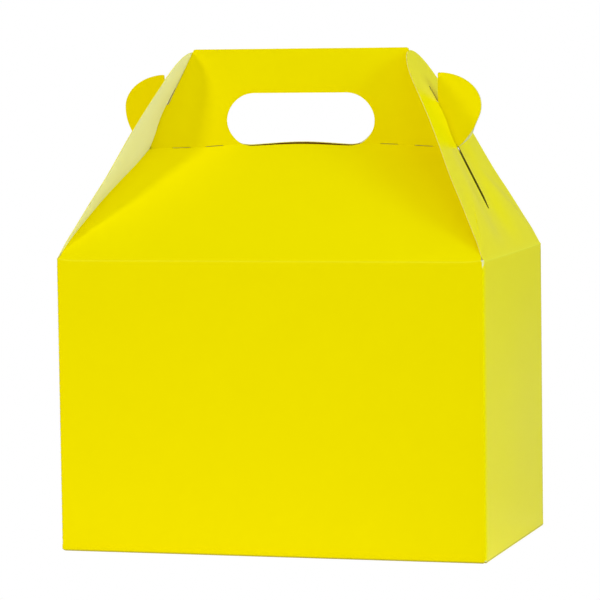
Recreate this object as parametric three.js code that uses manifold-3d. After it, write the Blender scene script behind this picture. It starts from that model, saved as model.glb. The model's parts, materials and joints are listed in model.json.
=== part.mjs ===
// A gable-top lunch box folded from one sheet of carton board, standing on its snap-lock bottom.
// Four walls rise to a shoulder fold. The front and back lids lean together from it and end in two
// upright handle leaves, back to back, with one finger hole through both. The ears at the ends of the
// leaves pass through slits in the two end flaps, which lean against the sloping edges of the lids.
// Millimetres. +Z is up, +X is to the right of the front wall, and the front wall faces -Y.
// The origin is on the floor, under the middle of the box.
import * as THREE from "three";
import { mergeVertices } from "three/addons/utils/BufferGeometryUtils.js";
import Module from "manifold-3d";

const wasm = await Module();
wasm.setup();

// Board and clearances
const board = 0.5; // thickness of the sheet
const gap = 0.3; // clearance between a flap and what it lies against
const leafGap = 0.4; // air between the two handle leaves
const foldSides = 12; // facets round a fold

// Walls
const width = 225; // outside, along the front wall
const depth = 134; // outside, along an end wall
const shoulderHeight = 151; // floor to the fold between end wall and end flap

// Lids and handle leaves
const lidFoldDrop = 1.3; // the lids fold this much lower than the end flaps
const topHeight = 257; // floor to the top edge of the handle
const handleHeight = 52; // fold between lid and handle leaf, to the top edge
const topWidth = 116; // length of the handle's top edge
const topCornerRadius = 3;
const holeWidth = 80; // finger hole, which runs down to the handle fold
const holeHeight = 29.2;
const holeBelowFold = 0.4;

// Cuts through the handle fold, which make it bend easily
const perforationLength = 9.6;
const perforationHeight = 0.35;
const perforationStarts = [42.6, 61]; // from the middle of the fold, on both sides

// Ears at the ends of the handle leaves. Heights are from the handle fold.
const neckRise = 23; // top of the neck that passes through the slit
const earStandOff = 0.5; // from the outer face of the end flap to the ear's upright edge
const earReach = 22.7; // from the upright edge to the outermost point
const earRootReach = 10.6; // from the upright edge to the lower curve, at the handle fold
const earWidestRise = 22;
const earTopRise = 38.8;
const earCornerRadius = 1.2;

// End flaps
const flapTipRadius = 27.5;
const flapTipDrop = 1.8; // from the handle's top edge down to the flap's tip
const flapShoulderInset = 1.2; // each side, so that the flap clears the corner of the box
const slitStart = 26.6; // from the shoulder fold, along the flap
const slitEndMargin = 0.7; // past the ear's top corner, so that the ear can pass
const slitSideClearance = 0.7; // each side of the two leaves

// Bottom flaps and glue flap
const layerBite = 0.02; // glued and pressed layers run into each other by this much
const bottomInset = 1.5; // from the walls to the sides of the bottom flaps
const foldRun = 4; // length in which a bottom flap rises to its own layer
const frontFlapReach = 72; // from the front wall
const tongueWidth = 104;
const tongueReach = 27; // past the edge of the front bottom flap
const tongueRun = 8; // length in which the tongue climbs over the back flap
const backFlapReach = 58.5; // from the back wall, between its legs
const legReach = 86; // from the back wall
const legGapWidth = 112; // between the legs of the back flap
const sideFlapReach = 52; // from an end wall
const sideFlapTaper = 24; // each side, from the fold to the free edge
const glueFlapWidth = 16;
const glueFlapTaper = 8;

// Worked out from the sizes above
const halfBoard = board / 2;
const halfWidth = width / 2 - halfBoard; // to the middle of the board
const halfDepth = depth / 2 - halfBoard;
const leafY = leafGap / 2 + halfBoard; // middle of a handle leaf
const handleFoldHeight = topHeight - handleHeight;
const neckTop = handleFoldHeight + neckRise;
const earWidestHeight = handleFoldHeight + earWidestRise;
const earTop = handleFoldHeight + earTopRise;
const flapLean = Math.atan((halfWidth - topWidth / 2) / (topHeight - shoulderHeight));
const flapLength = (topHeight - flapTipDrop - shoulderHeight) / Math.cos(flapLean);
const lidFoldHeight = shoulderHeight - lidFoldDrop;
const lidRun = halfDepth - leafY;
const lidRise = handleFoldHeight - lidFoldHeight;
const lidLength = Math.hypot(lidRun, lidRise);

// The x of a point at height z that lies away from the middle of the end flap, inwards if positive.
function insideFlap(z, away) {
  return halfWidth - Math.tan(flapLean) * (z - shoulderHeight) - away / Math.cos(flapLean);
}

const earEdge = insideFlap(neckTop, -halfBoard) + earStandOff; // x of the ear's upright edge

function solidOf(geometry) {
  const bare = geometry.clone();
  bare.deleteAttribute("normal");
  bare.deleteAttribute("uv");
  const merged = mergeVertices(bare, 1e-4);
  return new wasm.Manifold(
    new wasm.Mesh({
      numProp: 3,
      vertProperties: new Float32Array(merged.attributes.position.array),
      triVerts: new Uint32Array(merged.index.array),
    }),
  );
}

// A sheet of board with the outline of shape. Its middle plane passes through origin, and the shape's
// axes run along the directions across and up.
function panel(shape, origin, across, up) {
  const geometry = new THREE.ExtrudeGeometry(shape, {
    depth: board,
    bevelEnabled: false,
    curveSegments: 24,
  });
  geometry.translate(0, 0, -halfBoard);
  const u = new THREE.Vector3(...across).normalize();
  const v = new THREE.Vector3(...up).normalize();
  const normal = new THREE.Vector3().crossVectors(u, v);
  const place = new THREE.Matrix4().makeBasis(u, v, normal).setPosition(...origin);
  return geometry.applyMatrix4(place);
}

// The rounded board along a fold line between two points.
function fold(start, end) {
  const a = new THREE.Vector3(...start);
  const b = new THREE.Vector3(...end);
  const along = new THREE.Vector3().subVectors(b, a);
  const geometry = new THREE.CylinderGeometry(halfBoard, halfBoard, along.length(), foldSides);
  const turn = new THREE.Quaternion().setFromUnitVectors(
    new THREE.Vector3(0, 1, 0),
    along.clone().normalize(),
  );
  geometry.applyQuaternion(turn);
  const middle = a.add(b).multiplyScalar(0.5);
  return geometry.translate(middle.x, middle.y, middle.z);
}

function polygon(points) {
  return new THREE.Shape(points.map(([x, y]) => new THREE.Vector2(x, y)));
}

// The cutter for the finger hole, through both handle leaves.
function fingerHole() {
  const radius = holeHeight / 2;
  const reach = holeWidth / 2 - radius;
  const length = 4 * (leafY + board);
  const shape = new THREE.Shape();
  shape.absarc(reach, 0, radius, -Math.PI / 2, Math.PI / 2, false);
  shape.absarc(-reach, 0, radius, Math.PI / 2, 1.5 * Math.PI, false);
  const cutter = new THREE.ExtrudeGeometry(shape, {
    depth: length,
    bevelEnabled: false,
    curveSegments: 24,
  });
  cutter.rotateX(Math.PI / 2);
  return cutter.translate(0, length / 2, handleFoldHeight - holeBelowFold + radius);
}

function backCopy(geometry) {
  return geometry.clone().rotateZ(Math.PI);
}

function joined(geometries) {
  return geometries.map(solidOf).reduce((all, one) => all.add(one));
}

// Front wall, with its folds at the bottom and the lid. The back wall is the same, turned round.
function frontWall() {
  const outline = polygon([
    [-halfWidth, halfBoard],
    [halfWidth, halfBoard],
    [halfWidth, lidFoldHeight],
    [-halfWidth, lidFoldHeight],
  ]);
  return [
    panel(outline, [0, -halfDepth, 0], [1, 0, 0], [0, 0, 1]),
    fold([-halfWidth, -halfDepth, lidFoldHeight], [halfWidth, -halfDepth, lidFoldHeight]),
    fold([-halfWidth, -halfDepth, halfBoard], [halfWidth, -halfDepth, halfBoard]),
  ];
}

// Right end wall, with its folds and the upright fold at its front corner.
function endWall() {
  const outline = polygon([
    [-halfDepth, halfBoard],
    [halfDepth, halfBoard],
    [halfDepth, shoulderHeight],
    [-halfDepth, shoulderHeight],
  ]);
  return [
    panel(outline, [halfWidth, 0, 0], [0, 1, 0], [0, 0, 1]),
    fold([halfWidth, -halfDepth, shoulderHeight], [halfWidth, halfDepth, shoulderHeight]),
    fold([halfWidth, -halfDepth, halfBoard], [halfWidth, halfDepth, halfBoard]),
    fold([halfWidth, -halfDepth, halfBoard], [halfWidth, -halfDepth, shoulderHeight]),
    fold([halfWidth, halfDepth, halfBoard], [halfWidth, halfDepth, shoulderHeight]),
  ];
}

// Front lid: its sides rise to the shoulder and then lie along the inner faces of the end flaps.
function frontLid() {
  const clear = board + gap;
  const foot = insideFlap(shoulderHeight, clear);
  const head = insideFlap(handleFoldHeight, clear);
  const kneeLength = (lidLength * lidFoldDrop) / lidRise;
  const outline = polygon([
    [-foot, 0],
    [foot, 0],
    [foot, kneeLength],
    [head, lidLength],
    [-head, lidLength],
    [-foot, kneeLength],
  ]);
  return [
    panel(outline, [0, -halfDepth, lidFoldHeight], [1, 0, 0], [0, lidRun, lidRise]),
    fold([-head, -leafY, handleFoldHeight], [head, -leafY, handleFoldHeight]),
  ];
}

// One side of a handle leaf from the handle fold to the middle of its top edge: the ear, the neck in
// the slit, and the edge that lies along the end flap.
function handleSide(shape) {
  const innerClear = halfBoard + gap;
  const neck = insideFlap(neckTop, innerClear);
  const rootAngle = Math.acos(earRootReach / earReach);
  const cornerAngle = Math.acos(earCornerRadius / earReach);
  const lower = earWidestRise / Math.sin(rootAngle);
  const upper = earTopRise - earWidestRise;
  shape.absellipse(earEdge, earWidestHeight, earReach, lower, -rootAngle, 0, false, 0);
  shape.absellipse(earEdge, earWidestHeight, earReach, upper, 0, cornerAngle, false, 0);
  shape.quadraticCurveTo(earEdge, earTop, earEdge, earTop - earCornerRadius);
  shape.lineTo(earEdge, neckTop);
  shape.lineTo(neck, neckTop);
  const edgeTop = insideFlap(topHeight, innerClear);
  const edgeBelow = insideFlap(topHeight - topCornerRadius, innerClear);
  shape.lineTo(edgeBelow, topHeight - topCornerRadius);
  shape.quadraticCurveTo(edgeTop, topHeight, edgeTop - topCornerRadius, topHeight);
  return shape;
}

// Front handle leaf. Its left side is its right side mirrored.
function frontLeaf() {
  const right = handleSide(new THREE.Shape()).getPoints(16);
  const left = right.map((p) => new THREE.Vector2(-p.x, p.y)).reverse();
  const outline = new THREE.Shape([...right, ...left]);
  return [panel(outline, [0, -leafY, 0], [1, 0, 0], [0, 0, 1])];
}

// Short cuts through the handle fold.
function perforations() {
  const cuts = [];
  for (const start of perforationStarts) {
    for (const side of [-1, 1]) {
      const cut = new THREE.BoxGeometry(perforationLength, 4 * board, perforationHeight);
      const middle = side * (start + perforationLength / 2);
      cuts.push(cut.translate(middle, -leafY, handleFoldHeight));
    }
  }
  return cuts;
}

// A bottom flap: a short rise from its fold to its layer, then the flat panel. The outline's y runs
// from the fold towards the free edge, and turn is the wall's angle about the middle of the box.
function bottomFlap(outlinePoints, foldHalfLength, wallDistance, layer, turn) {
  const level = halfBoard + layer * (board - layerBite);
  const rise = level - halfBoard;
  const run = layer ? foldRun : 0;
  const parts = [];
  if (layer) {
    const ramp = polygon([
      [-foldHalfLength, 0],
      [foldHalfLength, 0],
      [foldHalfLength, Math.hypot(run, rise)],
      [-foldHalfLength, Math.hypot(run, rise)],
    ]);
    parts.push(panel(ramp, [0, -wallDistance, halfBoard], [1, 0, 0], [0, run, rise]));
    const knee = run - wallDistance;
    parts.push(fold([-foldHalfLength, knee, level], [foldHalfLength, knee, level]));
  }
  const flat = polygon(outlinePoints.map(([x, y]) => [x, Math.max(y, run)]));
  parts.push(panel(flat, [0, -wallDistance, level], [1, 0, 0], [0, 1, 0]));
  return parts.map((g) => g.rotateZ(turn));
}

// The snap-lock bottom. The front flap is outermost and its tongue lies on the back flap inside.
function bottom() {
  const side = halfWidth - bottomInset;
  const end = halfDepth - bottomInset;
  const front = bottomFlap(
    [
      [-side, 0],
      [side, 0],
      [side - foldRun, frontFlapReach],
      [foldRun - side, frontFlapReach],
    ],
    side,
    halfDepth,
    0,
    0,
  );
  const back = bottomFlap(
    [
      [-side, 0],
      [side, 0],
      [side - foldRun, legReach],
      [legGapWidth / 2, legReach],
      [legGapWidth / 2, backFlapReach],
      [-legGapWidth / 2, backFlapReach],
      [-legGapWidth / 2, legReach],
      [foldRun - side, legReach],
    ],
    side,
    halfDepth,
    2,
    Math.PI,
  );
  const ends = [1, -1].flatMap((hand) =>
    bottomFlap(
      [
        [-end, 0],
        [end, 0],
        [end - sideFlapTaper, sideFlapReach],
        [sideFlapTaper - end, sideFlapReach],
      ],
      end,
      halfWidth,
      1,
      (hand * Math.PI) / 2,
    ),
  );
  return [...front, ...back, ...ends, ...tongue()];
}

// The tongue climbs from the front bottom flap over the edge of the back one.
function tongue() {
  const low = halfBoard;
  const high = halfBoard + 3 * (board - layerBite);
  const rampStart = frontFlapReach - tongueRun - halfDepth;
  const half = tongueWidth / 2;
  const rampLength = Math.hypot(tongueRun, high - low);
  const ramp = polygon([
    [-half, 0],
    [half, 0],
    [half, rampLength],
    [-half, rampLength],
  ]);
  const flat = polygon([
    [-half, 0],
    [half, 0],
    [half - tongueReach / 2, tongueReach],
    [tongueReach / 2 - half, tongueReach],
  ]);
  const rampEnd = rampStart + tongueRun;
  return [
    panel(ramp, [0, rampStart, low], [1, 0, 0], [0, tongueRun, high - low]),
    fold([-half, rampStart, low], [half, rampStart, low]),
    fold([-half, rampEnd, high], [half, rampEnd, high]),
    panel(flat, [0, rampEnd, high], [1, 0, 0], [0, 1, 0]),
  ];
}

// The glue flap of the left end wall, stuck to the inside of the back wall.
function glueFlap() {
  const inside = halfDepth - board + layerBite;
  const outline = polygon([
    [-halfWidth, halfBoard + glueFlapTaper / 2],
    [glueFlapWidth - halfWidth, glueFlapTaper],
    [glueFlapWidth - halfWidth, shoulderHeight - glueFlapTaper],
    [-halfWidth, shoulderHeight - halfBoard],
  ]);
  return [panel(outline, [0, inside, 0], [1, 0, 0], [0, 0, 1])];
}

function carton() {
  const front = [...frontWall(), ...frontLid(), ...frontLeaf()];
  const end = endWall();
  const whole = joined([
    ...front,
    ...front.map(backCopy),
    ...end,
    ...end.map(backCopy),
    ...bottom(),
    ...glueFlap(),
  ]);
  const cuts = perforations();
  return whole.subtract(joined([fingerHole(), ...cuts, ...cuts.map(backCopy)]));
}

// An end flap, upright on its fold line: straight sides tangent to a round tip, and the slit.
function endFlap() {
  const foot = halfBoard + gap;
  const halfFoot = halfDepth - flapShoulderInset;
  const centre = flapLength - flapTipRadius;
  const toCentre = Math.hypot(halfFoot, centre - foot);
  const bearing = Math.atan2(centre - foot, -halfFoot);
  const sideAngle = bearing - Math.asin(flapTipRadius / toCentre);
  const tipStart = sideAngle - Math.PI / 2;

  const shape = new THREE.Shape();
  shape.moveTo(-halfFoot, foot);
  shape.lineTo(halfFoot, foot);
  shape.absarc(0, centre, flapTipRadius, tipStart, Math.PI - tipStart, false);
  shape.closePath();

  const earCorner = Math.hypot(halfWidth - earEdge, earTop - shoulderHeight);
  const slitEnd = earCorner + slitEndMargin;
  const slitWidth = leafGap + 2 * board + 2 * slitSideClearance;
  const half = slitWidth / 2;
  const slit = new THREE.Path();
  slit.absarc(0, slitEnd - half, half, 0, Math.PI, false);
  slit.absarc(0, slitStart + half, half, Math.PI, 2 * Math.PI, false);
  slit.closePath();
  shape.holes.push(slit);
  return panel(shape, [0, 0, 0], [0, 1, 0], [0, 0, 1]);
}

function meshOf(solid, name, material) {
  const mesh = solid.getMesh();
  const stride = mesh.numProp;
  const positions = new Float32Array(mesh.numVert * 3);
  for (let i = 0; i < mesh.numVert; i++) {
    positions.set(mesh.vertProperties.subarray(i * stride, i * stride + 3), i * 3);
  }
  const geometry = new THREE.BufferGeometry();
  geometry.setAttribute("position", new THREE.BufferAttribute(positions, 3));
  geometry.setIndex(new THREE.BufferAttribute(mesh.triVerts, 1));
  const faceted = geometry.toNonIndexed();
  faceted.computeVertexNormals();
  const made = new THREE.Mesh(faceted, material);
  made.name = name;
  return made;
}

function boardMaterial() {
  return new THREE.MeshStandardMaterial({ color: 0xebdd00, roughness: 0.55, metalness: 0 });
}

const lunchBox = new THREE.Group();
lunchBox.add(meshOf(carton(), "carton", boardMaterial()));

// Each end flap stands on the shoulder fold of its end wall and leans inwards.
for (const [name, hand] of [
  ["right_end_flap", 1],
  ["left_end_flap", -1],
]) {
  const hinge = new THREE.Group();
  hinge.position.set(hand * halfWidth, 0, shoulderHeight);
  hinge.rotation.y = -hand * flapLean;
  hinge.add(meshOf(solidOf(endFlap()), name, boardMaterial()));
  lunchBox.add(hinge);
}

export default lunchBox;
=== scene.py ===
import json
import math

import bpy
import numpy as np
from mathutils import Matrix, Vector
from mathutils.geometry import delaunay_2d_cdt


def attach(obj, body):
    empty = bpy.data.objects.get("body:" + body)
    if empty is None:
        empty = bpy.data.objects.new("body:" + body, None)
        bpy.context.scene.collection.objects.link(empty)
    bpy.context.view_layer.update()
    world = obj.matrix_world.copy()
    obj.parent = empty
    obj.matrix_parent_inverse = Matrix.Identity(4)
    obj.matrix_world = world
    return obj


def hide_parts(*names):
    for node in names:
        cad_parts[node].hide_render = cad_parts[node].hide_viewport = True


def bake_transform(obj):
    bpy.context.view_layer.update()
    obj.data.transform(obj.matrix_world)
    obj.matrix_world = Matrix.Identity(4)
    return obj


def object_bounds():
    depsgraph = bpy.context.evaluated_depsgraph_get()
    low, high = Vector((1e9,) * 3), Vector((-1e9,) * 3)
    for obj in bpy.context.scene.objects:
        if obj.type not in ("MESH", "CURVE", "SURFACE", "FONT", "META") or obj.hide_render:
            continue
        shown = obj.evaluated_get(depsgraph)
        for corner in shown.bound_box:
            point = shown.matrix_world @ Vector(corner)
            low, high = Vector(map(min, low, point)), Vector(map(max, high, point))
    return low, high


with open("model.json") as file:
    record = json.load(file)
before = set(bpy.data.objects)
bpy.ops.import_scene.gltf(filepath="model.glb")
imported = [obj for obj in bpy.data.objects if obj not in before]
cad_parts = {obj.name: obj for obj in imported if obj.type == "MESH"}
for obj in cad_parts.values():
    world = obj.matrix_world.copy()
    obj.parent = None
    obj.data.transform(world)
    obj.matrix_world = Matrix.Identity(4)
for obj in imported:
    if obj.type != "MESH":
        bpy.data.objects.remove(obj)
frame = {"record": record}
cad_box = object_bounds()
MM = 0.001


# Camera: a long lens at the photograph's viewing angle, found from the perspective of the box's straight
# edges. It is turned a little about its own axis.
def place_camera():
    """The camera stands back from a point above the floor, by azimuth and elevation, and is then moved
    across its own view by side and lift."""
    azimuth, elevation, roll = np.radians([16.318, 4.734, -0.812])
    distance, side, lift = 1826.64, -1.885, -4.487
    look_at = np.array([0.0, 0.0, 130.0])
    back = np.array(
        [
            math.sin(azimuth) * math.cos(elevation),
            -math.cos(azimuth) * math.cos(elevation),
            math.sin(elevation),
        ]
    )
    level = np.array([math.cos(azimuth), math.sin(azimuth), 0.0])
    upright = np.cross(back, level)
    right = math.cos(roll) * level + math.sin(roll) * upright
    up = math.cos(roll) * upright - math.sin(roll) * level
    stand = look_at + distance * back + side * right + lift * up
    camera = bpy.data.objects.new("camera", bpy.data.cameras.new("camera"))
    camera.data.sensor_width = 36
    camera.data.lens = 209.557
    camera.data.clip_start, camera.data.clip_end = 0.1, 50
    turn = Matrix((right, up, back)).transposed().to_4x4()
    camera.matrix_world = Matrix.Translation(stand * MM) @ turn
    bpy.context.collection.objects.link(camera)
    bpy.context.scene.camera = camera


place_camera()
bpy.context.scene.view_settings.view_transform = "Standard"


# Front and back strips of the sheet: bottom flap, wall, lid and handle leaf in one, with an ear at each
# end of the leaf. The carton board is printed yellow outside, creased at three folds, and die-cut round
# its outline, along the finger hole and at the short cuts in the handle's fold.

# Sizes in millimetres, at the middle of the board, with heights from the floor
HALF_BOARD = 0.25
right_fold = next(j for j in frame["record"]["behaviour"]["joints"] if j["child"] == "right_flap")
SIDE, SHOULDER = (round(right_fold["pos_m"][axis] / MM, 3) for axis in (0, 2))
FRONT = round(cad_box[1][1] / MM, 3) - HALF_BOARD
TOP = round(cad_box[1][2] / MM, 3)
LID_FOLD, HANDLE = 150.25, 205.0  # lower and upper fold of a lid
LID_BEND, FOLD = 0.8, 0.55  # bend radius of a lid's lower fold, and of the others
LEAF = 0.45  # from the middle of the handle to a leaf
LEAF_TOP, LEAF_END = 256.8, 58  # the leaf's top edge, and half of its length
LEAF_CORNER = 1.3  # radius
WALL_SWELL = 0.5  # how far the middle of a wall stands out
HOLE_END, HOLE_TOP = 40, 233.8  # half of the finger hole's width, and its top
HOLE_SHIFT = 1.3  # how much further the hole in the back leaf reaches at one end
NOTCHES, NOTCH_LENGTH = (42.6, 61.0), 9.6  # the short cuts, from the middle of the handle's fold

# Ears: the neck that the end flap's slit takes, and from its upright edge the reach of the round part
NECK_TOP, NECK_GAP = 228, 0.42
EAR_WIDEST, EAR_TOP = 227, 243.8
EAR_REACH, EAR_ROOT = 22.7, 9.4  # at its widest, and at the handle's fold
EAR_OUT = 0.5  # from the end flap's outer face to the upright edge
LEFT_EAR_OUT = 1.2  # how much further out the left ears' upright edges are

# Bottom flaps of the strips. They reach from the wall that carries them.
FLAP_END, FLAP_TAPER = SIDE - 1.5, 4  # half of a flap's length at its fold, and its taper
TONGUE_ROOT, TONGUE_RAMP, TONGUE_SIDE = 64, 8, 52  # the tongue leaves the front flap there
LEG_REACH, LEG_INSIDE, BACK_REACH = 86, 56, 58.5  # the back flap's legs, and the flap itself
BACK_LEVEL, BACK_RAMP = 1.21, 4  # height of the back flap, and the length in which it rises

# End flaps, where the strips meet them
LEAN = math.atan((SIDE - LEAF_END) / (TOP - SHOULDER))
LID_GAP = 0.34  # from the lid's edge to the middle of the end flap
LID_BULGE, EAR_DISH = 1.2, 1.0  # how far the lids push an end flap out, and the ears pull it in


def smooth(x, low, high):
    """0 below low, 1 above high, and 3t^2 - 2t^3 between."""
    t = np.clip((x - low) / (high - low), 0, 1)
    return t * t * (3 - 2 * t)


def between(x, rise, fall):
    """0 at both ends and 1 in the middle, with a smooth step up over rise and one down over fall."""
    return smooth(x, *rise) * (1 - smooth(x, *fall))


def bell(x, at, width):
    """1 at at, falling off to both sides as e to the power of minus the square of distance / width."""
    return np.exp(-(((x - at) / width) ** 2))


def beside_flap(z, away):
    """The x at height z that lies away from the middle of the right end flap."""
    return SIDE - math.tan(LEAN) * (z - SHOULDER) - away / math.cos(LEAN)


def upright_edge():
    """The x of the right ear's upright edge, clear of the end flap at the neck."""
    return beside_flap(NECK_TOP, -HALF_BOARD) + EAR_OUT


def flap_bulge(length, across):
    """How far the lids push the end flap out, at a length from the fold and away from its middle."""
    return LID_BULGE * between(length, (0, 15), (30, 58)) * smooth(across, 4, 34)


def flap_dish(length, across):
    """How far the ears pull the middle of the end flap in, with the same two arguments."""
    return EAR_DISH * between(length, (8, 27), (66, 84)) * (1 - smooth(across, 4, 24))


def arc(centre, radii, start, end, count):
    """Points on an ellipse from start to end, in degrees."""
    q = np.radians(np.linspace(start, end, count))
    return np.stack([centre[0] + radii[0] * np.cos(q), centre[1] + radii[1] * np.sin(q)], -1)


def mirrored(right):
    """An outline from its right half, given from the bottom up, closed over the left one."""
    right = np.asarray(right, float)
    left = right[::-1] * [-1, 1]
    return np.concatenate([right, left])


def half_turned(place):
    """The same surface turned half round the upright axis: x and y change sign."""
    return lambda u, v: place(u, v) * np.array([-1.0, -1.0, 1.0])


class Profile:
    """A polyline in two dimensions with its corners rounded to the fold radii, by length."""

    def __init__(self, points, radius=FOLD):
        points = np.asarray(points, float)
        track = [points[0]]
        self.folds = []
        length = 0.0
        radii = np.broadcast_to(radius, len(points) - 2)
        for before, at, after, radius in zip(points, points[1:], points[2:], radii):
            d1 = (at - before) / np.hypot(*(at - before))
            d2 = (after - at) / np.hypot(*(after - at))
            turn = math.atan2(d1[0] * d2[1] - d1[1] * d2[0], d1 @ d2)
            start = at - d1 * radius * math.tan(abs(turn) / 2)
            length += np.hypot(*(start - track[-1]))
            side = np.array([-d1[1], d1[0]]) * math.copysign(1, turn)
            q = np.linspace(0, abs(turn), 40)[:, None]
            track += list(start + radius * (np.sin(q) * d1 + (1 - np.cos(q)) * side))
            self.folds.append((length, length + radius * abs(turn)))
            length = self.folds[-1][1]
        track.append(points[-1])
        self.track = np.array(track)
        steps = np.hypot(*np.diff(self.track, axis=0).T)
        self.at = np.concatenate([[0], np.cumsum(steps)])
        self.length = self.at[-1]
        self.start, self.end = self.track[1] - self.track[0], self.track[-1] - self.track[-2]
        self.start /= np.hypot(*self.start)
        self.end /= np.hypot(*self.end)

    def __call__(self, v):
        """The two coordinates at length v; past the ends the profile runs straight on."""
        out = np.stack([np.interp(v, self.at, self.track[:, k]) for k in (0, 1)], -1)
        out += np.minimum(v, 0)[:, None] * self.start
        return out + np.maximum(v - self.length, 0)[:, None] * self.end

    def along(self, v):
        """The direction of the profile at length v."""
        step = 0.02
        ahead, behind = self(v + step), self(v - step)
        return (ahead - behind) / np.hypot(*(ahead - behind).T)[:, None]

    def rows(self, extra=0.35, count=6):
        """Rows of points across each fold, with a guard row at each side."""
        rows = []
        for start, end in self.folds:
            rows += [start - extra, *np.linspace(start, end, count), end + extra]
        return rows


# Materials of the board. All faces share one group for paper fibres and one for rubbed folds.
# The second colour is a painted highlight, a little lighter than the print, laid along the folds.
PAPER, FOLD_HIGHLIGHT = (0.85, 0.80, 0.58), (0.97, 0.88, 0.03)


def noise(nodes, scale, detail):
    """A noise texture of that scale and detail, between 0 and 1."""
    texture = nodes.new("ShaderNodeTexNoise")
    texture.inputs["Scale"].default_value = scale
    texture.inputs["Detail"].default_value = detail
    return texture


def fibre_group():
    """Height and tone of the paper: long fibres along the sheet, and a soft cloud over them."""
    group = bpy.data.node_groups.new("board_fibres", "ShaderNodeTree")
    group.interface.new_socket("Fine", in_out="OUTPUT", socket_type="NodeSocketFloat")
    group.interface.new_socket("Cloud", in_out="OUTPUT", socket_type="NodeSocketFloat")
    nodes, links = group.nodes, group.links
    out = nodes.new("NodeGroupOutput")
    place = nodes.new("ShaderNodeTexCoord")
    stretch = nodes.new("ShaderNodeMapping")
    stretch.inputs["Scale"].default_value = (900, 2600, 1)
    links.new(place.outputs["UV"], stretch.inputs["Vector"])
    fine = noise(nodes, 1.0, 4)
    links.new(stretch.outputs["Vector"], fine.inputs["Vector"])
    links.new(fine.outputs["Fac"], out.inputs["Fine"])
    cloud = noise(nodes, 45, 3)
    links.new(place.outputs["UV"], cloud.inputs["Vector"])
    links.new(cloud.outputs["Fac"], out.inputs["Cloud"])
    return group


def rubbed_group():
    """Where the print is gone: the piece's rubbed mask, broken up by a fine noise."""
    group = bpy.data.node_groups.new("rubbed_folds", "ShaderNodeTree")
    group.interface.new_socket("Mask", in_out="OUTPUT", socket_type="NodeSocketFloat")
    nodes, links = group.nodes, group.links
    out = nodes.new("NodeGroupOutput")
    worn = nodes.new("ShaderNodeAttribute")
    worn.attribute_name = "rubbed"
    place = nodes.new("ShaderNodeTexCoord")
    grain = noise(nodes, 900, 3)
    links.new(place.outputs["UV"], grain.inputs["Vector"])
    total = nodes.new("ShaderNodeMath")
    total.operation = "ADD"
    links.new(worn.outputs["Fac"], total.inputs[0])
    links.new(grain.outputs["Fac"], total.inputs[1])
    edge = nodes.new("ShaderNodeMapRange")
    edge.inputs["From Min"].default_value = 1.0
    edge.inputs["From Max"].default_value = 1.3
    edge.inputs["To Max"].default_value = 0.75
    edge.interpolation_type = "SMOOTHSTEP"
    links.new(total.outputs["Value"], edge.inputs["Value"])
    links.new(edge.outputs["Result"], out.inputs["Mask"])
    return group


FIBRES, RUBBED = fibre_group(), rubbed_group()


def board_material(name, colour, deep, roughness, specular, gloss, bump, mark=None):
    """colour turns to deep in the clouds of the sheet, to a painted highlight along the folds, and to
    bare paper where it is rubbed. gloss is the coat's weight when the board is seen at a low angle. mark
    is a mask's name and the colour painted there, which is painted shade in both boards that use it."""
    material = bpy.data.materials.new(name)
    material.use_nodes = True
    nodes, links = material.node_tree.nodes, material.node_tree.links
    shader = nodes["Principled BSDF"]
    shader.inputs["Roughness"].default_value = roughness
    shader.inputs["Specular IOR Level"].default_value = specular
    if gloss:
        slant = nodes.new("ShaderNodeLayerWeight")
        slant.inputs["Blend"].default_value = 0.5
        weight = nodes.new("ShaderNodeMapRange")
        weight.inputs["From Min"].default_value = 0.4
        weight.inputs["From Max"].default_value = 1.0
        weight.inputs["To Max"].default_value = gloss
        links.new(slant.outputs["Facing"], weight.inputs["Value"])
        links.new(weight.outputs["Result"], shader.inputs["Coat Weight"])
        shader.inputs["Coat Roughness"].default_value = 0.22

    def attribute(key):
        """The piece's own mask of that name."""
        node = nodes.new("ShaderNodeAttribute")
        node.attribute_name = key
        return node.outputs["Fac"]

    def turned(mask, other):
        """A mix that goes to the other colour where the mask is 1."""
        mix = nodes.new("ShaderNodeMix")
        mix.data_type = "RGBA"
        mix.inputs["B"].default_value = (*other, 1)
        links.new(mask, mix.inputs["Factor"])
        return mix

    fibres = nodes.new("ShaderNodeGroup")
    fibres.node_tree = FIBRES
    rubbed = nodes.new("ShaderNodeGroup")
    rubbed.node_tree = RUBBED
    layers = [
        turned(fibres.outputs["Cloud"], deep),
        turned(attribute("fold_highlight"), FOLD_HIGHLIGHT),
        turned(rubbed.outputs["Mask"], PAPER),
    ]
    if mark:
        layers.append(turned(attribute(mark[0]), mark[1]))
    layers[0].inputs["A"].default_value = (*colour, 1)
    for under, over in zip(layers, layers[1:]):
        links.new(under.outputs["Result"], over.inputs["A"])
    links.new(layers[-1].outputs["Result"], shader.inputs["Base Color"])
    relief = nodes.new("ShaderNodeBump")
    relief.inputs["Strength"].default_value = bump
    relief.inputs["Distance"].default_value = 0.00003
    links.new(fibres.outputs["Fine"], relief.inputs["Height"])
    links.new(relief.outputs["Normal"], shader.inputs["Normal"])
    return material


PRINTED = board_material(
    "printed_face",
    colour=(0.975, 0.79, 0.0),
    deep=(0.96, 0.775, 0.0),
    roughness=0.45,
    specular=0.0,
    gloss=0.75,
    bump=0.35,
    # painted shade: dark at the foot and where lid, leaf and end flap meet
    mark=("shade_on_print", (0.30, 0.25, 0.03)),
)
INNER = board_material(
    "inner_face",
    colour=(0.94, 0.91, 0.56),
    deep=(0.89, 0.86, 0.51),
    roughness=0.75,
    specular=0.3,
    gloss=0.0,
    bump=0.8,
    # painted shade: brown on the inside just under the finger hole
    mark=("shade_on_inside", (0.55, 0.22, 0.01)),
)
CUT = board_material("cut_edge", (0.90, 0.80, 0.22), (0.84, 0.72, 0.16), 0.9, 0.1, 0.0, 1.0)
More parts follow.
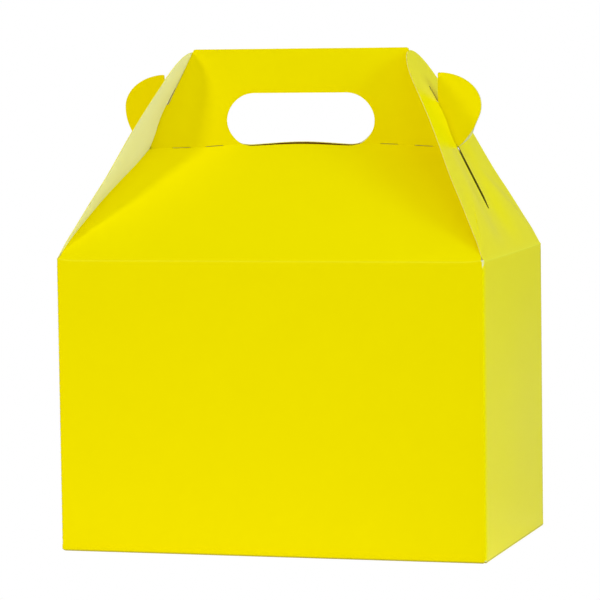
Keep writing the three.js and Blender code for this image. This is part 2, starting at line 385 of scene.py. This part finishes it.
# The knife cuts' rims are painted dark brown, which stands for the shade inside the narrow slit and
# short cuts.
KNIFE_SHADE = board_material("knife_cut_shade", (0.40, 0.30, 0.03), (0.34, 0.25, 0.02), 0.9, 0.1, 0.0, 1.0)

# The sheet as a mesh
BOARD = 0.45
INKED = 0.12  # how deep into a cut edge the ink goes, from the middle of the board
RIM_STEP = 2.0  # longest side of a piece's rim
RIM_CLEARANCE_SQUARED = 0.02  # of the grid points inside


def inside(points, loops):
    """True where a horizontal ray from the point crosses the loops an odd number of times."""
    x, y = points[:, 0], points[:, 1]
    odd = np.zeros(len(points), bool)
    for loop in loops:
        for (x1, y1), (x2, y2) in zip(loop, np.roll(loop, -1, axis=0)):
            if y1 == y2:
                continue
            level = (y1 > y) != (y2 > y)
            odd ^= level & (x < (x2 - x1) * (y - y1) / (y2 - y1) + x1)
    return odd


def stepped(loop, step):
    """The loop with points added so that no side is longer than step."""
    out = []
    for a, b in zip(loop, np.roll(loop, -1, axis=0)):
        count = max(1, int(math.ceil(np.hypot(*(b - a)) / step)))
        out.extend(a + (b - a) * k / count for k in range(count))
    return np.array(out)


def flat_mesh(loops, columns, rows, fold_rows):
    """Points and triangles of the region inside loops[0] and outside the rest. Grid points lie where
    columns and rows cross, and no triangle crosses a fold row."""
    loops = [stepped(loop, RIM_STEP) for loop in loops]
    rim = np.concatenate(loops)
    grid = np.stack(np.meshgrid(columns, np.union1d(rows, fold_rows)), -1).reshape(-1, 2)
    grid = grid[inside(grid, loops)]
    distance_squared = np.min(np.sum((grid[:, None] - rim) ** 2, axis=2), axis=1)
    grid = grid[distance_squared > RIM_CLEARANCE_SQUARED]
    points = list(map(tuple, rim)) + list(map(tuple, grid))
    edges, first = [], 0
    for loop in loops:
        count = len(loop)
        edges += [(first + i, first + (i + 1) % count) for i in range(count)]
        first += count
    low, high = rim[:, 0].min() - 3, rim[:, 0].max() + 3
    for row in fold_rows:
        edges.append((len(points), len(points) + 1))
        points += [(low, row), (high, row)]
    made = delaunay_2d_cdt([Vector(p) for p in points], edges, [], 0, 1e-5, False)
    flat = np.array([tuple(v) for v in made[0]])
    triangles = np.array([f for f in made[2] if len(f) == 3])
    a, b, c = flat[triangles[:, 0]], flat[triangles[:, 1]], flat[triangles[:, 2]]
    area = (b[:, 0] - a[:, 0]) * (c[:, 1] - a[:, 1]) - (b[:, 1] - a[:, 1]) * (c[:, 0] - a[:, 0])
    triangles[area < 0] = triangles[area < 0][:, ::-1]
    keep = inside((a + b + c) / 3, loops) & (np.abs(area) > 1e-7)
    used, triangles = np.unique(triangles[keep], return_inverse=True)
    return flat[used], triangles.reshape(-1, 3)


def board_piece(
    name, loops, columns, rows, fold_rows, place, wear=None, highlight=None, inside_shade=None, print_shade=None
):
    """A bent sheet. place(u, v) gives the middle of the board, its printed side is along du x dv, and
    the skins lie half the board's thickness to each side. loops[0] is the outline and the rest are
    holes; loops in a tuple are knife cuts, whose rims are painted dark all through as the shade in the
    cut. wear and the three masks after it, each a function of (u, v), are 0 to 1 where the board is
    rubbed bare, where a painted highlight lies along a fold, where painted shade darkens its inside,
    and where painted shade darkens its outside."""
    cuts = [loop for loop in loops if isinstance(loop, tuple)]
    loops = [np.asarray(loop, float) for loop in loops]
    flat, triangles = flat_mesh(loops, columns, rows, fold_rows)
    u, v = flat[:, 0], flat[:, 1]
    step = 0.04
    middle = place(u, v)
    du, dv = place(u + step, v) - place(u - step, v), place(u, v + step) - place(u, v - step)
    normal = np.cross(du, dv)
    normal /= np.linalg.norm(normal, axis=1)[:, None]
    count = len(flat)
    points = np.concatenate([middle + normal * BOARD / 2, middle - normal * BOARD / 2])

    # The rim: sides of triangles that no other triangle has the other way round
    directed = np.concatenate([triangles[:, [0, 1]], triangles[:, [1, 2]], triangles[:, [2, 0]]])
    seen = {tuple(e) for e in directed}
    rim = np.array([e for e in directed if (e[1], e[0]) not in seen])
    a, b = rim[:, 0], rim[:, 1]
    on_cut = np.zeros(len(rim), bool)
    for cut in cuts:
        low, high = np.min(cut, axis=0) - 0.01, np.max(cut, axis=0) + 0.01
        on_cut |= np.all((flat[a] >= low) & (flat[a] <= high), axis=1)
    edge = np.unique(rim)
    third = np.zeros(count, int)
    third[edge] = 2 * count + np.arange(len(edge))
    points = np.concatenate([points, (middle + normal * BOARD * INKED)[edge]])
    inked = np.stack([a, third[a], third[b], b], 1)
    bare = np.stack([third[a], a + count, b + count, third[b]], 1)
    faces = triangles.tolist() + (triangles[:, ::-1] + count).tolist()
    faces += inked.tolist() + bare.tolist()
    mesh = bpy.data.meshes.new(name)
    mesh.from_pydata((points * MM).tolist(), [], faces)

    # Material slots: 0 printed, 1 inner, 2 cut edge, 3 knife cut, whose rims are painted dark as the
    # shade inside the narrow cut
    skin = len(triangles)
    upper, lower = np.where(on_cut, 3, 0), np.where(on_cut, 3, 2)
    slots = np.concatenate([np.zeros(skin), np.ones(skin), upper, lower])
    mesh.polygons.foreach_set("material_index", slots.astype(np.int32))
    mesh.polygons.foreach_set("use_smooth", np.arange(len(slots)) < 2 * skin)
    for material in (PRINTED, INNER, CUT, KNIFE_SHADE):
        mesh.materials.append(material)
    rims = {frozenset(e) for e in np.concatenate([rim, rim + count]).tolist()}
    sharp = [frozenset(e.vertices) in rims for e in mesh.edges]
    mesh.attributes.new("sharp_edge", "BOOLEAN", "EDGE").data.foreach_set("value", sharp)

    # The flat sheet is the map of the piece
    uv = np.concatenate([flat, flat, flat[edge]]) * MM
    corners = np.empty(len(mesh.loops), np.int32)
    mesh.loops.foreach_get("vertex_index", corners)
    layer = mesh.uv_layers.new(name="flat")
    layer.data.foreach_set("uv", uv[corners].astype(np.float32).ravel())
    masks = (("rubbed", wear), ("fold_highlight", highlight), ("shade_on_inside", inside_shade), ("shade_on_print", print_shade))
    for key, amount in masks:
        value = np.zeros(count) if amount is None else amount(u, v)
        value = np.concatenate([value, value, value[edge]]).astype(np.float32)
        mesh.attributes.new(key, "FLOAT", "POINT").data.foreach_set("value", value)
    mesh.update()
    piece = bpy.data.objects.new(name, mesh)
    bpy.context.collection.objects.link(piece)
    return piece


def strip(name, back):
    """One strip, drawn as the front one. Its profile runs from the bottom flap's free edge up to the
    top of the leaf, straight between round folds."""
    start = [[TONGUE_ROOT - FRONT, HALF_BOARD]]
    if back:
        start = [[LEG_REACH - FRONT, BACK_LEVEL], [BACK_RAMP - FRONT, BACK_LEVEL]]
    profile = Profile(
        start + [[-FRONT, HALF_BOARD], [-FRONT, LID_FOLD], [-LEAF, HANDLE], [-LEAF, TOP]],
        [FOLD] * len(start) + [LID_BEND, FOLD],
    )
    bottom, shoulder, handle = profile.folds[-3:]
    lid_length = handle[0] - shoulder[1]
    lid_normal = np.array([LID_FOLD - HANDLE, FRONT - LEAF])
    lid_normal /= math.hypot(*lid_normal)

    # How far the handle's fold arches up, the lid's edge springs up at the hole, and the hole reaches
    # below the fold; how far the leaf bows, and how much higher the lid's fold is at the right end
    arch, lift, below = (2.3, 2.2, 0.8) if back else (1.9, 1.6, 1.2)
    arch_middle = -8 if back else 8
    bow, tilt = (-1.3, 0) if back else (1.3, 0.28)
    lid_crown, corner_push, corner_lift = 0.7, 1.4, 0.75

    def level_at(z):
        """The profile's length at height z of the leaf."""
        return profile.length - (TOP - z)

    def corner_rise(u, v):
        """How much higher the lid's fold lies at the corners of the box than along the wall."""
        near = between(v, (shoulder[0] - 12, shoulder[0]), (shoulder[1], shoulder[1] + 14))
        return near * (corner_lift * smooth(np.abs(u), 103, SIDE - 0.5) + tilt * (1 + u / SIDE))

    def place(u, v):
        """The profile moved along its normal: the wall swells as sine squared, the lid is crowned as
        a sine and fuller near its corners, and the leaf comes forward between its necks. The lid's
        edge at the hole springs up by the fourth power of the way up the lid, and the handle's fold
        arches by the third."""
        out, along = profile(v), profile.along(v)
        wall = np.clip((v - bottom[1]) / (shoulder[0] - bottom[1]), 0, 1)
        lid = np.clip((v - shoulder[1]) / lid_length, 0, 1)
        push = WALL_SWELL * np.sin(np.pi * wall) ** 2 * np.cos(np.pi * u / 2 / SIDE) ** 2
        push += lid_crown * np.sin(np.pi * lid) * np.cos(np.pi * u / 230) ** 2
        push += bow * smooth(v, handle[1] + 2, handle[1] + 16) * (1 - smooth(np.abs(u), 34, 64))
        high = between(v, (shoulder[1], shoulder[1] + 10), (shoulder[1] + 22, handle[0]))
        push += corner_push * high * smooth(np.abs(u), 70, 100)
        spring = lift * np.cos(np.pi * np.clip(u / 36, -1, 1) / 2) ** 2 * lid**4
        spring = spring * (1 - smooth(v, handle[1], handle[1] + 3))
        rise = arch * (1 - smooth(np.abs(u - arch_middle), 32, 78)) * lid**3
        rise = rise * (1 - smooth(v, handle[1] + 1, handle[1] + 24)) + corner_rise(u, v)
        y = out[:, 0] - along[:, 1] * push + lid_normal[0] * spring
        z = out[:, 1] + along[:, 0] * push + lid_normal[1] * spring + rise
        return np.stack([u, y, z], -1)

    hole_bottom, hole_top = handle[0] - below, level_at(HOLE_TOP)
    radius = (hole_top - hole_bottom) / 2
    middle = hole_bottom + radius
    right_end = HOLE_END + HOLE_SHIFT if back else HOLE_END
    hole = np.concatenate(
        [
            arc((right_end - radius, middle), (radius, radius), -90, 90, 40),
            arc((radius - HOLE_END, middle), (radius, radius), 90, 270, 40),
        ]
    )
    neck, upright, widest = beside_flap(NECK_TOP, NECK_GAP), upright_edge(), level_at(EAR_WIDEST)
    root = math.acos(EAR_ROOT / EAR_REACH)
    lower = (EAR_WIDEST - HANDLE) / math.sin(root)
    ear = np.concatenate(
        [
            arc((upright, widest), (EAR_REACH, lower), 1 - math.degrees(root), 0, 22),
            arc((upright, widest), (EAR_REACH, EAR_TOP - EAR_WIDEST), 0, 84, 26)[1:],
        ]
    )
    corner = [[upright + 0.4, level_at(EAR_TOP - 0.1)], [upright, level_at(EAR_TOP - 0.6)]]
    head, radii = LEAF_TOP - LEAF_CORNER, (LEAF_CORNER, LEAF_CORNER)
    tip = arc((beside_flap(head, NECK_GAP) - LEAF_CORNER, level_at(head)), radii, 15, 90, 6)
    foot = [[TONGUE_SIDE, 0], [TONGUE_SIDE, -TONGUE_RAMP], [FLAP_END - FLAP_TAPER, -TONGUE_RAMP]]
    if back:
        foot = [[LEG_INSIDE, LEG_REACH - BACK_REACH], [LEG_INSIDE, 0], [FLAP_END - FLAP_TAPER, 0]]

    # The lid's sloping edge follows the end flap that leans on it
    up = np.concatenate([shoulder[1] + np.arange(3), np.linspace(shoulder[1] + 3, handle[0], 40)])
    z = np.maximum(profile(up)[:, 1] + corner_rise(SIDE, up), SHOULDER)
    across = FRONT * (HANDLE - z) / (HANDLE - LID_FOLD)
    length = (z - SHOULDER) / math.cos(LEAN)
    bulge = flap_bulge(length, across) - flap_dish(length, across)
    lid_edge = np.stack([beside_flap(z, LID_GAP - bulge), up], -1)
    end = lid_edge[-1, 0]
    outline = mirrored(
        foot
        + [
            [FLAP_END, bottom[0]],
            [FLAP_END + HALF_BOARD, bottom[1]],
            [SIDE - FOLD, bottom[1]],
            [SIDE - FOLD, shoulder[0]],
        ]
        + lid_edge.tolist()
        + [[beside_flap(HANDLE, LID_GAP), handle[1]]]
        + ear.tolist()
        + corner
        + [[upright, level_at(NECK_TOP)], [neck, level_at(NECK_TOP)]]
        + tip.tolist()
    )

    # The left ears stand further out. The right ones are a little slimmer low down, and the back one
    # is fuller again at its root.
    left = 1 if back else -1
    at_left, at_right = outline[:, 0] * left > 0, outline[:, 0] * left < 0
    on_upright = np.abs(np.abs(outline[:, 0]) - upright) < 0.5
    on_upright &= outline[:, 1] > level_at(NECK_TOP + 1)
    outline[on_upright & at_left, 0] += LEFT_EAR_OUT * left
    from_middle = outline - np.array([-left * upright, widest])
    on_ear = at_right * (np.abs(outline[:, 0]) > upright + 3)
    on_ear = on_ear * smooth(outline[:, 1], handle[1], handle[1] + 5)
    fuller = -0.9 * smooth(-from_middle[:, 1], 2, 10)
    if back:
        fuller = fuller + 1.1 * smooth(-from_middle[:, 1], 11, 17)
    far = np.maximum(np.hypot(*from_middle.T), 1)
    outline += (fuller * on_ear / far)[:, None] * from_middle

    # The short cuts lie in the front leaf's fold, and just below the back one's
    low, high = (handle[0] - 0.5, handle[0] - 0.15) if back else (handle[0] + 0.28, handle[1] + 0.15)
    notches = []
    for near in NOTCHES:
        for side in (-1, 1):
            a, b = side * near, side * (near + NOTCH_LENGTH)
            notches.append(([a, low], [b, low], [b, high], [a, high]))

    # Columns of points every 4 mm, and closer at the ends of the handle's fold
    near_end = [-end + 0.9, -end + 1.7, end - 1.7, end - 0.9]
    columns = np.unique(np.concatenate([np.arange(-110, 111, 4.0), near_end]))
    worn_side = -1 if back else 1

    def wear(u, v):
        """Rubbed bare only at the right end of the box, at the shoulder and at the foot."""
        top = bell(v, shoulder[1], 1.5) * smooth(u * worn_side, SIDE - 1.6, SIDE - 0.4)
        foot = bell(v, bottom[1], 0.8) * smooth(u * worn_side, SIDE - 2, SIDE - 0.4)
        return 0.95 * top + 0.7 * foot

    def highlight(u, v):
        """Painted highlight: the lid's fold is a little lighter than the print."""
        return 0.28 * bell(v, np.mean(shoulder), 0.42)

    def inside_shade(u, v):
        """Painted shade: a narrow brown band of the inside under the hole, which lies in shade."""
        band = between(v, (handle[0] - 8, handle[0] - 5), (handle[1] + 1, handle[1] + 2))
        return band * (1 - smooth(np.abs(u), 28, 34))

    def print_shade(u, v):
        """Painted shade: a thin dark line along the foot, where the box meets the floor, and a dark
        spot at each end of the handle's fold, where lid, leaf and end flap meet.
        """
        from_meeting = np.hypot(np.abs(u) - end, v - np.mean(handle))
        return 0.7 * bell(v, np.mean(bottom) + 0.1, 0.35) + bell(from_meeting, 0, 1)

    piece = board_piece(
        name,
        [outline, hole, *notches],
        columns,
        np.arange(-6, profile.length, 4.0),
        profile.rows(),
        half_turned(place) if back else place,
        wear,
        highlight,
        inside_shade,
        print_shade,
    )
    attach(piece, "box")
    return piece


front_strip = strip("front_strip", back=False)
strip("back_strip", back=True)
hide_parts("carton")


# End walls, each with the upright folds at its corners. They are areas of the same board, bent round
# both corners and joined there to the strips. Their upright folds carry a painted highlight, and one
# of them is rubbed at its ends. The top stops 1 mm under the fold, where the end flap's piece takes
# over.
WALL_FOOT, WALL_TOP = 0.8, SHOULDER - 1
CORNER_TOP, RUBBED_CORNER_TOP = 151.5, 152


def end_wall(name, left):
    """The plan of the wall is a profile round both corners, drawn up from the bottom fold."""
    corner = SIDE - FOLD - 0.02
    plan = Profile([[corner, -FRONT], [SIDE, -FRONT], [SIDE, FRONT], [corner, FRONT]])
    length = plan.length
    first, last = plan.folds

    def place(u, v):
        """The plan at height v, swollen in the middle of the wall as sine squared of the way along
        and sine of the way up."""
        out = plan(u)
        along, up = np.clip(u / length, 0, 1), np.clip(v / SHOULDER, 0, 1)
        out[:, 0] += WALL_SWELL * np.sin(np.pi * along) ** 2 * np.sin(np.pi * up)
        return np.stack([out[:, 0], out[:, 1], v], -1)

    outline = [
        [0, WALL_FOOT],
        [length, WALL_FOOT],
        [length, CORNER_TOP],
        [last[0] - 0.3, CORNER_TOP],
        [last[0] - 0.5, WALL_TOP],
        [first[1] + 0.5, WALL_TOP],
        [first[1] + 0.3, RUBBED_CORNER_TOP],
        [0, RUBBED_CORNER_TOP],
    ]

    def wear(u, v):
        """Rubbed bare at the two ends of one upright fold."""
        ends = np.maximum(smooth(v, 146, 149), 0.8 - 0.8 * smooth(v, 1, 3))
        return bell(u, np.mean(first), 1.3) * ends

    def highlight(u, v):
        """Painted highlight: the upright folds are a little lighter than the print."""
        return 0.08 * bell(u, np.mean(first), 0.35) + 0.4 * bell(u, np.mean(last), 0.35)

    def print_shade(u, v):
        """Painted shade: a thin dark line along the foot, where the wall meets the floor."""
        return 0.9 - 0.9 * smooth(v, 0.9, 1.3)

    piece = board_piece(
        name,
        [outline],
        np.unique(np.concatenate([np.arange(6, length - 4, 4.0), plan.rows()])),
        np.arange(3, 150, 4.0),
        [1.0, 1.3],
        half_turned(place) if left else place,
        wear,
        highlight,
        print_shade=print_shade,
    )
    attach(piece, "box")


end_wall("right_wall", left=False)
end_wall("left_wall", left=True)


# Bottom flaps of the end walls, plain tapered areas of the board. They fold in over the front bottom
# flap and under the back one, which holds them down.
END_REACH, END_RAMP = 52, 4
END_LEVEL = 0.73
END_HALF, END_TAPER = 65.25, 24


def end_bottom_flap(name, left):
    """The profile runs outwards along the flap, down its short ramp and up to the wall."""
    profile = Profile(
        [
            [SIDE - END_REACH, END_LEVEL],
            [SIDE - END_RAMP, END_LEVEL],
            [SIDE, HALF_BOARD],
            [SIDE, WALL_FOOT + 0.01],
        ],
        radius=0.45,
    )

    def place(u, v):
        """The profile, drawn along the wall."""
        out = profile(v)
        return np.stack([out[:, 0], u, out[:, 1]], -1)

    flat = END_REACH - END_RAMP
    outline = [[END_HALF - END_TAPER, 0], [END_HALF, flat], [END_HALF, profile.length]]
    piece = board_piece(
        name,
        [mirrored(outline)],
        np.arange(-64, 65, 4.0),
        np.arange(2, flat, 4.0),
        profile.rows(extra=0.1),
        half_turned(place) if left else place,
    )
    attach(piece, "box")


end_bottom_flap("right_bottom_flap", left=False)
end_bottom_flap("left_bottom_flap", left=True)


# Tongue of the front bottom flap, cut to a taper from the same board. It climbs over the back flap's
# edge and lies between its legs, which locks the bottom.
TONGUE_LEVEL, TONGUE_REACH = 1.69, 27
TONGUE_TIP_SIDE = 38.5


def tongue():
    """The profile runs from the tongue's tip back to the front flap."""
    root = TONGUE_ROOT - FRONT
    profile = Profile(
        [
            [root + TONGUE_RAMP + TONGUE_REACH, TONGUE_LEVEL],
            [root + TONGUE_RAMP, TONGUE_LEVEL],
            [root, HALF_BOARD],
            [root - 0.05, HALF_BOARD],
        ],
        radius=0.2,
    )

    def place(u, v):
        """The profile, drawn along the front wall."""
        out = profile(v)
        return np.stack([u, out[:, 0], out[:, 1]], -1)

    outline = [[TONGUE_TIP_SIDE, 0], [TONGUE_SIDE, TONGUE_REACH], [TONGUE_SIDE, profile.length]]
    piece = board_piece(
        "bottom_tongue",
        [mirrored(outline)],
        np.arange(-48, 49, 4.0),
        np.arange(2, 34, 4.0),
        profile.rows(extra=0.1),
        place,
    )
    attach(piece, "box")


tongue()


# Glue flap of the left end wall: a narrow strip of the board with slanted ends, glued by its printed
# side to the inside of the back wall.
GLUE_WIDTH, GLUE_LOW, GLUE_HIGH = 16, 4.3, 146


def glue_flap():
    """A flat strip, drawn from the corner towards the middle of the back wall."""

    def place(u, v):
        """u runs towards -X from the corner."""
        return np.stack([-SIDE - u, np.full(len(u), FRONT - 2 * HALF_BOARD), v], -1)

    root, tip = -0.7, -GLUE_WIDTH
    piece = board_piece(
        "glue_flap",
        [[[tip, GLUE_LOW + 3.7], [root, GLUE_LOW], [root, GLUE_HIGH], [tip, GLUE_HIGH - 3]]],
        np.arange(-14, 0, 4.0),
        np.arange(6, GLUE_HIGH, 6.0),
        [],
        place,
    )
    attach(piece, "box")


glue_flap()


# End flaps, each one board with the wall under it. The piece starts 1 mm under the fold, bends there,
# and leans on the lids. The ears of the handle come out through its knife-cut slit.
TIP_RADIUS, TIP_DROP, TIP_ANGLE = 27.5, 1.8, 21.75  # the round tip starts at that angle
FLAP_HALF = 65.85  # half of the flap's width at the fold, clear of the box's corners
SLIT_START, SLIT_HALF = 26.7, 1.2
SLIT_NARROW, SLIT_NARROW_FROM = 0.85, 90  # half its width along the necks
SLIT_SHORT = 3.3  # from the height of the ear's top corner down to the slit's end
EDGE_CURL, REAR_CURL = 0.9, 0.45


def end_flap(name, left):
    """The profile runs from the wall over the fold and up the leaning flap to its round tip."""
    profile = Profile([[SIDE, SHOULDER - 1], [SIDE, SHOULDER], [LEAF_END, TOP]])
    centre = 1 + (TOP - TIP_DROP - SHOULDER) / math.cos(LEAN) - TIP_RADIUS

    def place(u, v):
        """The profile, drawn along the wall. It bulges out along the lids, its free edges curl out
        above them, and its middle is dished in by the ears. The right flap stands out a little more
        behind the slit."""
        out, along = profile(v), profile.along(v)
        rise = (v - 1) * math.cos(LEAN) + SHOULDER - LID_FOLD
        lid = FRONT - rise * FRONT / (HANDLE - LID_FOLD)
        curl = EDGE_CURL * smooth(np.abs(u), lid, lid + 22) * between(v, (40, 75), (78, 110))
        pushed = flap_bulge(v - 1, np.minimum(np.abs(u), np.maximum(lid, 0)))
        curl = curl + pushed * (1 - 0.6 * smooth(np.abs(u), lid, lid + 12))
        curl = curl - flap_dish(v - 1, np.abs(u))
        if not left:
            curl = curl + REAR_CURL * (u > 0) * bell(u, 0, 14) * between(v, (27.6, 34), (60, 74))
        x = out[:, 0] + along[:, 1] * curl
        z = out[:, 1] - along[:, 0] * curl
        return np.stack([x, u, z], -1)

    outline = mirrored(
        [[FLAP_HALF - 0.25, 0], [FLAP_HALF, 1.1]]
        + arc((0, centre), (TIP_RADIUS, TIP_RADIUS), TIP_ANGLE, 89.9, 30).tolist()
    )
    high = math.hypot(upright_edge() - SIDE, EAR_TOP - SHOULDER) - SLIT_SHORT
    slit = np.concatenate(
        [
            arc((0, high - SLIT_NARROW), (SLIT_NARROW, SLIT_NARROW), 0, 180, 9),
            [[-SLIT_NARROW, SLIT_NARROW_FROM], [-SLIT_HALF, SLIT_NARROW_FROM - 3]],
            arc((0, SLIT_START + SLIT_HALF), (SLIT_HALF, SLIT_HALF), 180, 360, 9),
            [[SLIT_HALF, SLIT_NARROW_FROM - 3], [SLIT_NARROW, SLIT_NARROW_FROM]],
        ]
    )

    def wear(u, v):
        """Rubbed bare at one end of the fold."""
        return 0.9 * smooth(u if left else -u, FRONT - 3, FRONT - 1.5) * bell(v, 0.6, 1.3)

    def highlight(u, v):
        """Painted highlight: the fold is a little lighter than the print."""
        return 0.4 * bell(v, 1, 0.45)

    piece = board_piece(
        name,
        [outline, tuple(slit)],
        np.arange(-64, 65, 4.0),
        np.arange(4, 118, 4.0),
        profile.rows(extra=0.3),
        half_turned(place) if left else place,
        wear,
        highlight,
    )
    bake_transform(piece)
    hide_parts(name.replace("_board", ""))


end_flap("right_end_flap_board", left=False)
end_flap("left_end_flap_board", left=True)


# Floor, light and background: a white sweep in plain soft light. The lamp beside the lens is warm, and
# the others are cooler.
WHITE, WARM, COOL = (1, 1, 1, 1), (1.0, 0.965, 0.92), (0.66, 1.03, 1.25)
LAMP_DISTANCE, LAMP_AIM = 1.6, 0.15  # metres from the height that the lamps look at


def floor():
    """A wide disc under the box, of rings that grow by one factor. The camera sees it plain white. A
    soft pool of light on it, in front of the box, brightens the foot of the front wall."""
    below = -0.0001
    rings, sides = np.geomspace(0.02, 3.0, 24), 96
    q = np.linspace(0, 2 * np.pi, sides, endpoint=False)
    points = [(0.0, 0.0, below)]
    points += [(r * math.cos(a), r * math.sin(a), below) for r in rings for a in q]
    faces = [(0, 1 + k, 1 + (k + 1) % sides) for k in range(sides)]
    for ring in range(len(rings) - 1):
        a = 1 + ring * sides
        for k in range(sides):
            n = (k + 1) % sides
            faces.append((a + k, a + sides + k, a + sides + n, a + n))
    mesh = bpy.data.meshes.new("floor")
    mesh.from_pydata(points, [], faces)
    material = bpy.data.materials.new("floor_white")
    material.use_nodes = True
    nodes, links = material.node_tree.nodes, material.node_tree.links
    shader = nodes["Principled BSDF"]
    shader.inputs["Base Color"].default_value = (0.6, 0.6, 0.6, 1)
    shader.inputs["Roughness"].default_value = 0.9
    shader.inputs["Specular IOR Level"].default_value = 0.0
    place = nodes.new("ShaderNodeTexCoord")
    away = nodes.new("ShaderNodeVectorMath")
    away.operation = "DISTANCE"
    away.inputs[1].default_value = (-0.04, -0.17, 0.0)
    links.new(place.outputs["Object"], away.inputs[0])
    pool = nodes.new("ShaderNodeMapRange")
    pool.interpolation_type = "SMOOTHSTEP"
    pool.inputs["From Min"].default_value = 0.05
    pool.inputs["From Max"].default_value = 0.42
    pool.inputs["To Min"].default_value = 0.38
    pool.inputs["To Max"].default_value = 0.0
    links.new(away.outputs["Value"], pool.inputs["Value"])
    shader.inputs["Emission Color"].default_value = WHITE
    links.new(pool.outputs["Result"], shader.inputs["Emission Strength"])
    path = nodes.new("ShaderNodeLightPath")
    white = nodes.new("ShaderNodeEmission")
    white.inputs["Color"].default_value = WHITE
    seen = nodes.new("ShaderNodeMixShader")
    links.new(path.outputs["Is Camera Ray"], seen.inputs["Fac"])
    links.new(shader.outputs["BSDF"], seen.inputs[1])
    links.new(white.outputs["Emission"], seen.inputs[2])
    links.new(seen.outputs["Shader"], nodes["Material Output"].inputs["Surface"])
    mesh.materials.append(material)
    disc = bpy.data.objects.new("floor", mesh)
    bpy.context.collection.objects.link(disc)


def surroundings(strength):
    """An even warm sky, which the camera sees white."""
    world = bpy.data.worlds.new("studio")
    bpy.context.scene.world = world
    world.use_nodes = True
    nodes, links = world.node_tree.nodes, world.node_tree.links
    lit = nodes["Background"]
    lit.inputs["Color"].default_value = (*WARM, 1)
    lit.inputs["Strength"].default_value = strength
    seen = nodes.new("ShaderNodeBackground")
    seen.inputs["Color"].default_value = WHITE
    path = nodes.new("ShaderNodeLightPath")
    mix = nodes.new("ShaderNodeMixShader")
    links.new(path.outputs["Is Camera Ray"], mix.inputs["Fac"])
    links.new(lit.outputs["Background"], mix.inputs[1])
    links.new(seen.outputs["Background"], mix.inputs[2])
    links.new(mix.outputs["Shader"], nodes["World Output"].inputs["Surface"])


def soft_light(name, azimuth, elevation, size, watts, colour):
    """A square area light that looks at the middle of the box."""
    data = bpy.data.lights.new(name, "AREA")
    data.shape, data.size, data.energy, data.color = "SQUARE", size, watts, colour
    light = bpy.data.objects.new(name, data)
    a, e = math.radians(azimuth), math.radians(elevation)
    back = Vector((math.sin(a) * math.cos(e), -math.cos(a) * math.cos(e), math.sin(e)))
    light.location = Vector((0, 0, LAMP_AIM)) + back * LAMP_DISTANCE
    light.rotation_mode = "QUATERNION"
    light.rotation_quaternion = (-back).to_track_quat("-Z", "Y")
    bpy.context.collection.objects.link(light)


floor()
surroundings(0.35)
soft_light("front", azimuth=8, elevation=14, size=1.6, watts=4.05, colour=WARM)
soft_light("key", azimuth=64, elevation=23, size=0.45, watts=3.7, colour=COOL)
soft_light("side", azimuth=85, elevation=14, size=1.2, watts=8.4, colour=(0.78, 1.03, 1.35))
soft_light("fill", azimuth=-36, elevation=26, size=0.3, watts=6.2, colour=(0.88, 0.97, 1.0))
soft_light("overhead", azimuth=45, elevation=66, size=1.0, watts=4.7, colour=(0.78, 1.0, 1.0))
soft_light("back", azimuth=225, elevation=25, size=1.0, watts=7.0, colour=(0.92, 1.0, 1.0))
